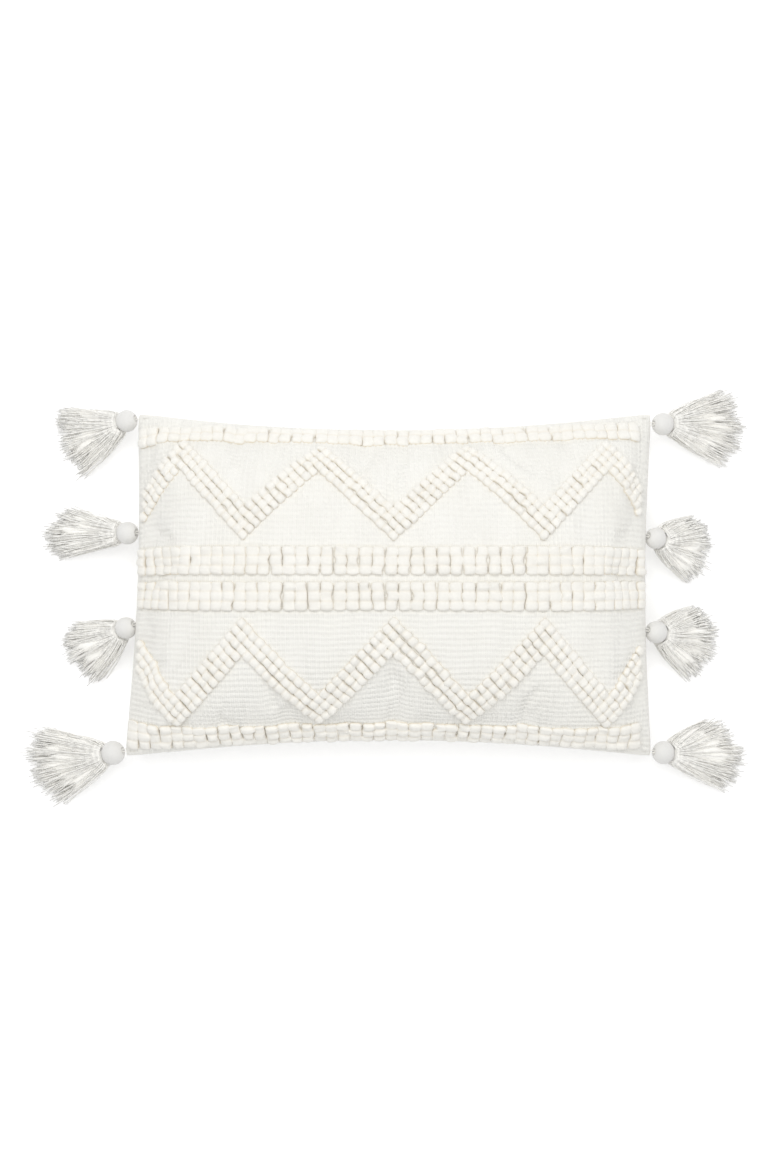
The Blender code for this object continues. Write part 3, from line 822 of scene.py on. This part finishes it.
def make_cover(front, back, front_material, back_material):
    across, up = np.meshgrid(even_places(CLOTH_HALF_WIDTH, BEAD / BEAD_SAMPLES),
                             even_places(CLOTH_HALF_HEIGHT, RIB / RIB_SAMPLES), indexing="ij")
    front_cover = hemmed_panel("cover_front", front, across, up, rib_weave(across, up), front_material)
    s, t = crowded_grid(201, 131)
    across, up = s * CLOTH_HALF_WIDTH, t * CLOTH_HALF_HEIGHT
    back_cover = hemmed_panel("cover_back", back, across, up, np.zeros_like(across), back_material)
    stand_in(front_cover, "front_panel", "pillow")
    stand_in(back_cover, "back_panel", "pillow")


def make_topstitch(front, back, thread):
    """A row of stitches on each side of the zip's slit."""
    for name, panel in (("front", front), ("back", back)):
        stitches = []
        end = ZIP_HALF_LENGTH + STITCH_OVERRUN
        for place in np.arange(-end, end, STITCH_PITCH):
            across = (place + np.linspace(0, STITCH_SHARE, 6) * STITCH_PITCH) * SEAM_TAKE_UP
            point, _, _, normal = panel.frame(across, np.full(6, STITCH_INSET - CLOTH_HALF_HEIGHT))
            arch = np.sin(np.linspace(0, math.pi, 6))[:, None] * 0.00030 + 0.0002
            stitches.append(round_tube(point + normal * arch, STITCH_RADIUS, 6))
        row = skin("topstitch_" + name, stitches, thread)
        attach(row, "pillow")


def make_insert(casing, filling):
    """The stuffed insert that holds the cover out."""
    s, t = crowded_grid(81, 55)
    across, up = s * CLOTH_HALF_WIDTH, t * CLOTH_HALF_HEIGHT
    rim = INSERT_INSET + CASING_RIM
    slack = INSERT_SLACK + CASING_THICKNESS
    for side, node in ((1, "insert_front"), (-1, "insert_back")):
        outer = layer(side, s, t, INSERT_INSET, INSERT_SLACK, CASING_HALF_GAP)
        inner = layer(side, s, t, rim, slack, CASING_HALF_GAP)
        upper, lower = (outer, inner) if side > 0 else (inner, outer)
        piece = closed_layer("casing_" + node[7:], upper, lower, casing, across, up)
        stand_in(piece, node, "pillow")
    rim += FILL_SLACK
    slack += FILL_SLACK
    lumps = 0.0012 * np.sin(across * 90 + 2 * np.sin(up * 70)) * np.sin(up * 110 + 1.5 * np.sin(across * 60))
    lumps = np.minimum(0.0, lumps - 0.0008) * fullness(*draped(s, t))
    upper = layer(1, s, t, rim, slack, SEAM_HALF_GAP)
    lower = layer(-1, s, t, rim, slack, SEAM_HALF_GAP)
    upper[..., 2] += lumps
    lower[..., 2] -= lumps
    fill = closed_layer("filling", upper, lower, filling, across, up)
    stand_in(fill, "insert_fill", "pillow")


# --- raised loop bands ---

def top_border_droop(across):
    """How far the top border falls below a straight line towards the corners."""
    most = TOP_BORDER_DROOP_LEFT if across < 0 else TOP_BORDER_DROOP_RIGHT
    return most * abs(across / CLOTH_HALF_WIDTH) ** BORDER_BEND


def bottom_border_spread(across):
    """How much taller the bottom border grows towards the corners."""
    return BOTTOM_BORDER_SPREAD * abs(across / CLOTH_HALF_WIDTH) ** BORDER_BEND


def level(across):
    return 0.0


def straight_chains(band, rows, droop=level, spread=level, right_end=BAND_END):
    """Columns of loops, one above another, across the cloth, each with its step down the column."""
    low, high = band
    chains = []
    first = -int(BAND_END * CLOTH_HALF_WIDTH / LOOP_COLUMN)
    last = int(right_end * CLOTH_HALF_WIDTH / LOOP_COLUMN)
    for k in range(first, last + 1):
        across = k * LOOP_COLUMN
        pitch = (high - low + spread(across)) / rows
        top = high - droop(across) + spread(across)
        chains.append(([(across, top - (r + 0.5) * pitch) for r in range(rows)], (0.0, -pitch)))
    return chains


def zigzag_chains(bottom, top, starts_high):
    """Loops of a zigzag's arms, each row half a column on from the one above, joined down to the right."""
    pitch = (top - bottom) / ZIGZAG_ROWS
    half_column = LOOP_COLUMN / 2
    climb = 2 * COLUMNS_PER_HALF_PERIOD
    end = ZIGZAG_END * CLOTH_HALF_WIDTH

    def on_an_arm(row, step):
        share = abs(1 - (step / climb) % 2)
        lowest = (share if starts_high else 1 - share) * climb
        within = lowest <= row + 0.5 < lowest + ZIGZAG_ROWS - climb
        return within and abs(ZIGZAG_SHIFT + step * half_column) < end

    widest = int(end / half_column) + 1
    sites = {(row, step) for row in range(ZIGZAG_ROWS) for step in range(-widest, widest + 1)
             if (row + step) % 2 == 0 and on_an_arm(row, step)}
    chains = []
    for row, step in sorted(sites):
        if (row + 1, step - 1) in sites:
            continue
        chain = []
        while (row, step) in sites:
            chain.append((ZIGZAG_SHIFT + step * half_column, bottom + (row + 0.5) * pitch))
            row, step = row - 1, step + 1
        chains.append((chain, (half_column, -pitch)))
    return chains


def loop_section():
    """A loop's cross-section as shares of its half width and height, starting underneath."""
    turns = np.arange(LOOP_SIDES) / LOOP_SIDES * 2 * math.pi - math.pi / 2
    wide = np.sign(np.cos(turns)) * abs(np.cos(turns)) ** 0.78
    high = np.sign(np.sin(turns)) * abs(np.sin(turns)) ** 0.9
    return wide, high


def loop_chain(panel, chain, step, dips, rng):
    """Rings and painted shade of a chain of yarn loops: each loop swells, dips to the next, and ends rounded.
    """
    narrowing, dip = dips
    wide, high = loop_section()
    share = (np.arange(LOOP_STATIONS) + 0.5) / LOOP_STATIONS * 2 - 1
    calm = 1 - share ** 2
    gauge = LOOP_COLUMN * abs(step[1]) / math.hypot(*step)
    rings = []
    painted_shades = []
    for k, (across, up) in enumerate(chain):
        width, height, tilt, shift, nod = rng.normal(0, 1, 5)
        free = ((share < 0) & (k == 0)) | ((share > 0) & (k == len(chain) - 1))
        swell = np.where(free, (1 - abs(share) ** 4) ** 0.5, 1 - narrowing * abs(share) ** 2.5)
        rise = np.where(free, (1 - abs(share) ** 3) ** 0.5, 1 - dip * abs(share) ** 2.5)
        threads = 1 + THREAD_RELIEF * np.cos(share * math.pi * LOOP_THREADS + rng.uniform(0, 6.28)) * calm
        half_width = 0.5 * gauge * LOOP_FILL * (1 + LOOP_WIDTH_SPREAD * width * calm) * swell
        unevenness = LOOP_HEIGHT_SPREAD * height * calm + LOOP_NOD * nod * share * calm
        half_high = LOOP_HEIGHT * (1 + unevenness) * rise
        place = across + share / 2 * step[0] + LOOP_WANDER * shift * calm
        point, along_x, along_y, normal = panel.frame(place, up + share / 2 * step[1])
        ahead = unit(step[0] * along_x + step[1] * along_y)
        sideways = np.cross(normal, ahead) + LOOP_TILT * tilt * calm[:, None] * ahead
        tall = np.where(high[None, :] > 0, half_high[:, None] * threads[:, None], LOOP_DEPTH) * high[None, :]
        spread = half_width[:, None] * threads[:, None] * wide[None, :]
        rings.append(point[:, None] + LOOP_LIFT * normal[:, None] + spread[..., None] * sideways[:, None]
                     + tall[..., None] * normal[:, None])
        # Painted shade: the lower half of each ring, and the dips where loops meet, take the brown of shade in
        # the hollows.
        beside = clamp((0.5 - high) / 0.5)[None, :]
        between = np.where(free, 0.0, PAINTED_SHADE_BETWEEN * abs(share) ** 8)[:, None]
        painted_shades.append(np.maximum(beside, between))
    return np.concatenate(rings), np.concatenate(painted_shades)


def make_band(panel, node, chains, dips, material, seed):
    rng = np.random.default_rng(seed)
    made = [loop_chain(panel, chain, step, dips, rng) for chain, step in chains]
    band = skin("loops_" + node, [rings for rings, _ in made], material, [painted_shades for _, painted_shades in made])
    stand_in(band, node, "pillow")


def make_bands(panel, material):
    top = straight_chains(TOP_BORDER, 2, top_border_droop, level, BORDER_RIGHT_END)
    bottom = straight_chains(BOTTOM_BORDER, 3, level, bottom_border_spread, BORDER_RIGHT_END)
    bands = (
        ("top_border", top, STRAIGHT_DIPS),
        ("centre_upper_band", straight_chains(CENTRE_UPPER_BAND, 3), STRAIGHT_DIPS),
        ("centre_lower_band", straight_chains(CENTRE_LOWER_BAND, 3), STRAIGHT_DIPS),
        ("bottom_border", bottom, STRAIGHT_DIPS),
        ("upper_zigzag", zigzag_chains(*UPPER_ZIGZAG, False), ZIGZAG_DIPS),
        ("lower_zigzag", zigzag_chains(*LOWER_ZIGZAG, True), ZIGZAG_DIPS),
    )
    for seed, (node, chains, dips) in enumerate(bands):
        make_band(panel, node, chains, dips, material, 10 + seed)


# --- tassels ---

def seam_point(side, y):
    v = y / CORNER_HALF_HEIGHT
    x = side * CORNER_HALF_WIDTH - side * SIDE_PULL_IN * (1 - v * v)
    if side < 0:
        x += LEFT_SIDE_LEAN * v
    return Vector((x, y, float(seam_height(side, v))))


def neck_start(radius):
    return HEAD_STAND_OFF + radius + HEAD_CUT * radius + GAP


def tassel_frame(side, head_y, direction, radius, length):
    """A tassel's own axes: X out along it from the seam, sloping so that its skirt meets the floor."""
    yaw = math.radians(direction)
    hinge = seam_point(side, head_y - (HEAD_STAND_OFF + radius) * math.sin(yaw))
    reach = neck_start(radius) + 0.94 * length
    slant = math.hypot(reach, SKIRT_TIP_HALF_DEPTH)
    pitch = math.asin((hinge.z - FLOOR_CLEARANCE) / slant) - math.atan2(SKIRT_TIP_HALF_DEPTH, reach)
    return Matrix.Translation(hinge) @ Matrix.Rotation(yaw, 4, "Z") @ Matrix.Rotation(pitch, 4, "Y")


def placed(frame, points):
    """Points of a tassel's own axes, in the row frame."""
    turn = np.array(frame.to_3x3())
    return np.asarray(points) @ turn.T + np.array(frame.translation)


def circle_x(x, reach, sides):
    turns = np.arange(sides) / sides * 2 * math.pi
    return np.stack((np.full(sides, x), reach * np.cos(turns), reach * np.sin(turns)), axis=-1)


def head_rings(radius):
    """A ball wound with thread, from the pocket that its loop turns in to its flat neck end."""
    centre = HEAD_STAND_OFF + radius
    winding = HEAD_WINDING * np.cos(np.arange(HEAD_SIDES) * 2 * math.pi / 3)
    mouth = math.asin(HEAD_POCKET_MOUTH / radius)
    neck = math.acos(-HEAD_CUT)
    rings = [circle_x(HEAD_POCKET_DEPTH, HEAD_POCKET_FLOOR, HEAD_SIDES)]
    for turn in np.linspace(mouth, neck, HEAD_RINGS):
        share = (turn - mouth) / (neck - mouth)
        ring = circle_x(centre - radius * math.cos(turn), radius * math.sin(turn), HEAD_SIDES)
        ring[:, 1:] *= 1 + winding[:, None] * math.sin(math.pi * share) ** 0.5
        rings.append(ring)
    rings.append(circle_x(centre + HEAD_CUT * radius, 0.3 * radius, HEAD_SIDES))
    return np.array(rings)


def binding_path(radius):
    """A thread wound round the neck, just below the head."""
    turns = np.linspace(0, BINDING_WRAPS * 2 * math.pi, BINDING_WRAPS * 26)
    start = neck_start(radius) + GAP + BINDING_MARGIN
    x = start + (BINDING_WIDTH - 2 * BINDING_MARGIN) * turns / turns[-1]
    return np.stack((x, BINDING_MIDDLE * np.cos(turns), BINDING_MIDDLE * np.sin(turns)), axis=-1)


def cord_path():
    """The hanging loop, out of the seam, round its end and back."""
    bend = np.linspace(math.pi / 2, -math.pi / 2, 11)
    leg = np.linspace(-LOOP_START, SWAY_AXIS, 5)[:-1]
    side = np.ones_like(leg)
    x = np.concatenate((leg, SWAY_AXIS + LOOP_HALF_WIDTH * np.cos(bend), leg[::-1]))
    y = LOOP_HALF_WIDTH * np.concatenate((side, np.sin(bend), -side))
    return np.stack((x, y, np.zeros_like(x)), axis=-1)


def plied(path, radius, turns_each_step):
    """Two strands twisted round each other along a path."""
    guide = round_tube(path, 0.45 * radius, 2, 1.0, turns_each_step)
    return [round_tube(guide[:, k], 0.58 * radius, 8) for k in range(2)]


def fan_point(fan, share):
    """Direction and reach of a fan at a share from -1, its lower edge, through 0 to 1, its upper edge."""
    upper, middle, lower = fan
    edge = upper if share > 0 else lower
    direction = middle[0] + (edge[0] - middle[0]) * abs(share)
    reach = middle[1] + (edge[1] - middle[1]) * abs(share) ** 1.6
    return math.radians(direction), reach


def yarn_path(tassel, share, depth, rng, stray=1.0):
    """One yarn of a skirt: out of the neck, over the shoulder, then down to where it lies in the fan.

    Depth runs from 0 beneath to 1 on top, and stray says how far the yarn wanders. Yarns at an edge of a
    fan that turns far from the tassel's own direction hang back beneath the head.
    """
    frame, radius, direction, fan = tassel
    start = neck_start(radius)
    handed = 1.0 if frame.col[0].x > 0 else -1.0
    aim, reach = fan_point(fan, share)
    turned = abs(math.remainder(aim - math.radians(direction), 2 * math.pi))
    lag = max(0.0, turned - FREE_TURN) * abs(share) ** 1.5
    level_share = math.sin(math.pi * (depth - 0.5))
    beside = handed * share * math.sqrt(max(0.0, 1 - 0.5 * level_share ** 2))
    shoulder = SHOULDER[1] * radius + LAG_OUT * lag
    local = placed(frame, [
        (start, ROOT_RADIUS * beside, ROOT_RADIUS * level_share),
        (start + COLLAR[0], COLLAR[1] * beside, COLLAR[2] * level_share),
        (start + SHOULDER[0] - LAG_BACK * lag, shoulder * beside, SHOULDER[2] * level_share - LAG_DOWN * lag),
    ])
    head = placed(frame, [(HEAD_STAND_OFF + radius, 0, 0)])[0]
    clump = CLUMPING * math.sin(11 * share + direction)
    reach *= 1 + clump + stray * (rng.normal(0, LENGTH_SPREAD) - SHORT_TIPS * rng.random() ** 3)
    aim += stray * rng.normal(0, AIM_SPREAD)
    tip_height = TIP_LOWEST + depth * 2 * SKIRT_TIP_HALF_DEPTH * (1 - TIP_SAG * stray * rng.random())
    tip = np.array((head[0] + reach * math.cos(aim), head[1] + reach * math.sin(aim), tip_height))
    waist = local[2] + (tip - local[2]) * WAIST_SHARE
    waist[2] = local[2][2] * WAIST_SHARE + tip_height * (1 - WAIST_SHARE) + WAIST_PUFF * depth
    outward = np.array((-math.sin(aim), math.cos(aim), 0.0))
    belly = handed * share * (WAIST_BELLY + LAG_OUT * lag)
    waist += outward * (stray * rng.normal(0, WAVE_SIDEWAYS) + belly)
    path = spline(np.concatenate((local, [waist, tip])), YARN_STATIONS)
    growing = np.linspace(0, stray, YARN_STATIONS)[:, None] ** 2
    wave = np.sin(np.linspace(0, rng.uniform(5, 10), YARN_STATIONS) + rng.uniform(0, 6.28))[:, None]
    upward = np.array((0, 0, WAVE_UPWARDS)) * rng.normal(0, 1)
    path = path + wave * growing * (outward * WAVE_SIDEWAYS + upward)
    path[:, 2] = np.maximum(path[:, 2], 1.25 * YARN_RADIUS)
    return path


def skirt_core(tassel, rng):
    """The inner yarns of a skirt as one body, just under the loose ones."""
    across = np.linspace(-CORE_HALF_SHARE, CORE_HALF_SHARE, 25)
    ends = rng.uniform(*CORE_ENDS, len(across)) * (YARN_STATIONS - 1)
    above = [(share, CORE_TOP, end) for share, end in zip(across, ends)]
    beneath = [(share, CORE_BOTTOM, end) for share, end in zip(across[::-1], ends[::-1])]
    stations = np.arange(YARN_STATIONS)
    paths = []
    for share, depth, end in above + beneath:
        path = yarn_path(tassel, share, depth, rng, 0.0)
        places = np.linspace(0, end, YARN_STATIONS)
        paths.append([np.interp(places, stations, path[:, axis]) for axis in range(3)])
    rings = np.array(paths).transpose(2, 0, 1)
    rim = (rings[-1] + rings[-1, ::-1]) / 2
    rings[-1] = rim + np.repeat((CORE_RIM, -CORE_RIM), len(across))[:, None] * (0.0, 0.0, 1.0)
    return rings[:, ::-1] if tassel[0].col[0].x > 0 else rings


def make_skirt(name, tassel, material, seed):
    rng = np.random.default_rng(seed)
    yarns = [skirt_core(tassel, rng)]
    for k in range(YARNS + STRAY_YARNS):
        stray = k >= YARNS
        share = ((k + 0.5) * GOLDEN_SHARE) % 1 * 2 - 1
        share = max(-1.0, min(1.0, share + rng.normal(0, 0.03))) * (1.2 if stray else 1.0)
        path = yarn_path(tassel, share, rng.random(), rng, 2.0 if stray else 1.0)
        thickness = YARN_RADIUS * (0.4 if stray else rng.uniform(0.85, 1.15)) * np.ones(YARN_STATIONS)
        thickness[-1] *= 0.75
        yarns.append(round_tube(path, thickness, YARN_SIDES, 0.78, 0.9))
    skirt = skin("skirt_" + name, yarns, material)
    stand_in(skirt, "tassel_skirt_" + name, "tassel_" + name)


def make_tassel(name, side, head_y, direction, radius, length, fan, finishes, seed):
    cord, head, binding, yarn = finishes
    frame = tassel_frame(side, head_y, direction, radius, length)
    strands = plied(placed(frame, cord_path()), LOOP_CORD_RADIUS, 0.5)
    ball = [placed(frame, head_rings(radius))]
    wound = [round_tube(placed(frame, binding_path(radius)), BINDING_THREAD_RADIUS, 8)]
    stand_in(skin("cord_" + name, strands, cord), "tassel_loop_" + name, "loop_" + name)
    body = "tassel_" + name
    stand_in(skin("head_" + name, ball, head), "tassel_head_" + name, body)
    winding = skin("binding_" + name, wound, binding)
    stand_in(winding, "tassel_binding_" + name, body)
    make_skirt(name, (frame, radius, direction, fan), yarn, seed)


def make_tassels():
    finishes = (loop_cord(), head_thread(), binding_thread(), skirt_yarn())
    for seed, tassel in enumerate(TASSELS):
        make_tassel(*tassel, finishes, 40 + seed)


# --- the zip ---

def zip_point(x, depth, height):
    """A point of the zip: x along it, depth into the pillow from the seam, height above the seam."""
    reach = ZIP_RADIUS + depth
    turn = x / ZIP_RADIUS
    return np.stack(np.broadcast_arrays(reach * np.sin(turn), ZIP_CENTRE_Y + reach * np.cos(turn),
                                        SEAM_HEIGHT + height), axis=-1)


def make_zip(tape_material, nylon):
    """Two woven tapes, each with a coil of nylon along its edge."""
    tape = np.array(TAPE_SECTION)
    along = np.linspace(-ZIP_HALF_LENGTH, ZIP_HALF_LENGTH, 121)
    turns = int(2 * ZIP_HALF_LENGTH / COIL_PITCH)
    share = np.linspace(0, 1, turns * COIL_STEPS)
    coil_x = (2 * share - 1) * (ZIP_HALF_LENGTH - COIL_WIRE_RADIUS)
    coil_angle = share * 2 * math.pi * turns
    swing = COIL_RADIUS - COIL_WIRE_RADIUS
    for side, sign in (("front", 1), ("back", -1)):
        section = tape if sign > 0 else tape[::-1] * (1, -1)
        rings = zip_point(along[:, None], section[None, :, 0], section[None, :, 1])
        woven_tape = skin("tape_" + side, [rings], tape_material)
        path = zip_point(coil_x, COIL_DEPTH + swing * np.cos(coil_angle),
                         sign * (COIL_HEIGHT + swing * np.sin(coil_angle)))
        coil = skin("coil_" + side, [round_tube(path, COIL_WIRE_RADIUS, 6)], nylon)
        stand_in(woven_tape, "zipper_tape_" + side, "pillow")
        stand_in(coil, "zipper_coil_" + side, "pillow")


def finish_zip_metal(nodes):
    """The stops, slider and pull keep their shape, with softened edges and plated metal."""
    plated = nickel()
    for name in ("zipper_bottom_stop", "zipper_top_stop_front", "zipper_top_stop_back", "zipper_slider",
                 "zipper_pull"):
        piece = nodes[name]
        piece.data.materials.clear()
        piece.data.materials.append(plated)
        edges = piece.modifiers.new("softened edges", "BEVEL")
        edges.width = METAL_EDGE
        edges.segments = 2
        edges.limit_method = "ANGLE"


# --- the stage ---

def make_floor():
    finish = Finish("pale_floor")
    grain = finish.noise(finish.stretched(), 3.0)
    finish.surface("Base Color", finish.mixed(grain, FLOOR_GREY, FLOOR_PALE))
    finish.glow(WHITE, FLOOR_GLOW)
    finish.surface("Roughness", 0.9)
    finish.surface("Specular IOR Level", 0.0)
    points = [(FLOOR_REACH * x, FLOOR_REACH * y, 0) for x, y in ((-1, -1), (1, -1), (1, 1), (-1, 1))]
    add_mesh("floor", points, [[0, 1, 2, 3]], finish.material)


def make_lights():
    world = bpy.data.worlds.new("studio")
    bpy.context.scene.world = world
    world.use_nodes = True
    background = world.node_tree.nodes["Background"]
    background.inputs["Color"].default_value = (*WHITE, 1.0)
    background.inputs["Strength"].default_value = 0.62
    lights = (("key", (-0.3, 1.2, 3.2), 2.4, 56.0), ("fill", (1.4, -1.2, 3.0), 2.6, 12.0))
    for name, place, size, power in lights:
        light = bpy.data.lights.new(name, "AREA")
        light.shape = "SQUARE"
        light.size = size
        light.energy = power
        holder = bpy.data.objects.new(name, light)
        holder.location = place
        holder.rotation_euler = (-Vector(place)).to_track_quat("-Z", "Y").to_euler()
        bpy.context.scene.collection.objects.link(holder)


def make_plain_tones():
    """Tones straight from the light, so that white cloth stays white."""
    bpy.context.scene.view_settings.view_transform = "Standard"


def make_camera():
    """Straight down on the pillow, far enough back to be nearly free of perspective."""
    lens = bpy.data.cameras.new("camera")
    lens.lens = CAMERA_LENS
    lens.sensor_width = SENSOR
    camera = bpy.data.objects.new("camera", lens)
    camera.location = (*AIM, SEAM_HEIGHT + FRAME_HEIGHT * CAMERA_LENS / SENSOR)
    bpy.context.scene.collection.objects.link(camera)
    bpy.context.scene.camera = camera


def main():
    for item in list(bpy.data.objects):
        bpy.data.objects.remove(item, do_unlink=True)
    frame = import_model()
    make_camera()
    make_plain_tones()
    make_lights()
    make_floor()
    front, back = make_panels()
    make_cover(front, back, front_cotton(), back_cotton())
    make_topstitch(front, back, stitch_thread())
    make_insert(insert_casing(), insert_filling())
    make_bands(front, loop_yarn())
    make_tassels()
    make_zip(zip_tape(), zip_nylon())
    finish_zip_metal(frame["nodes"])


main()
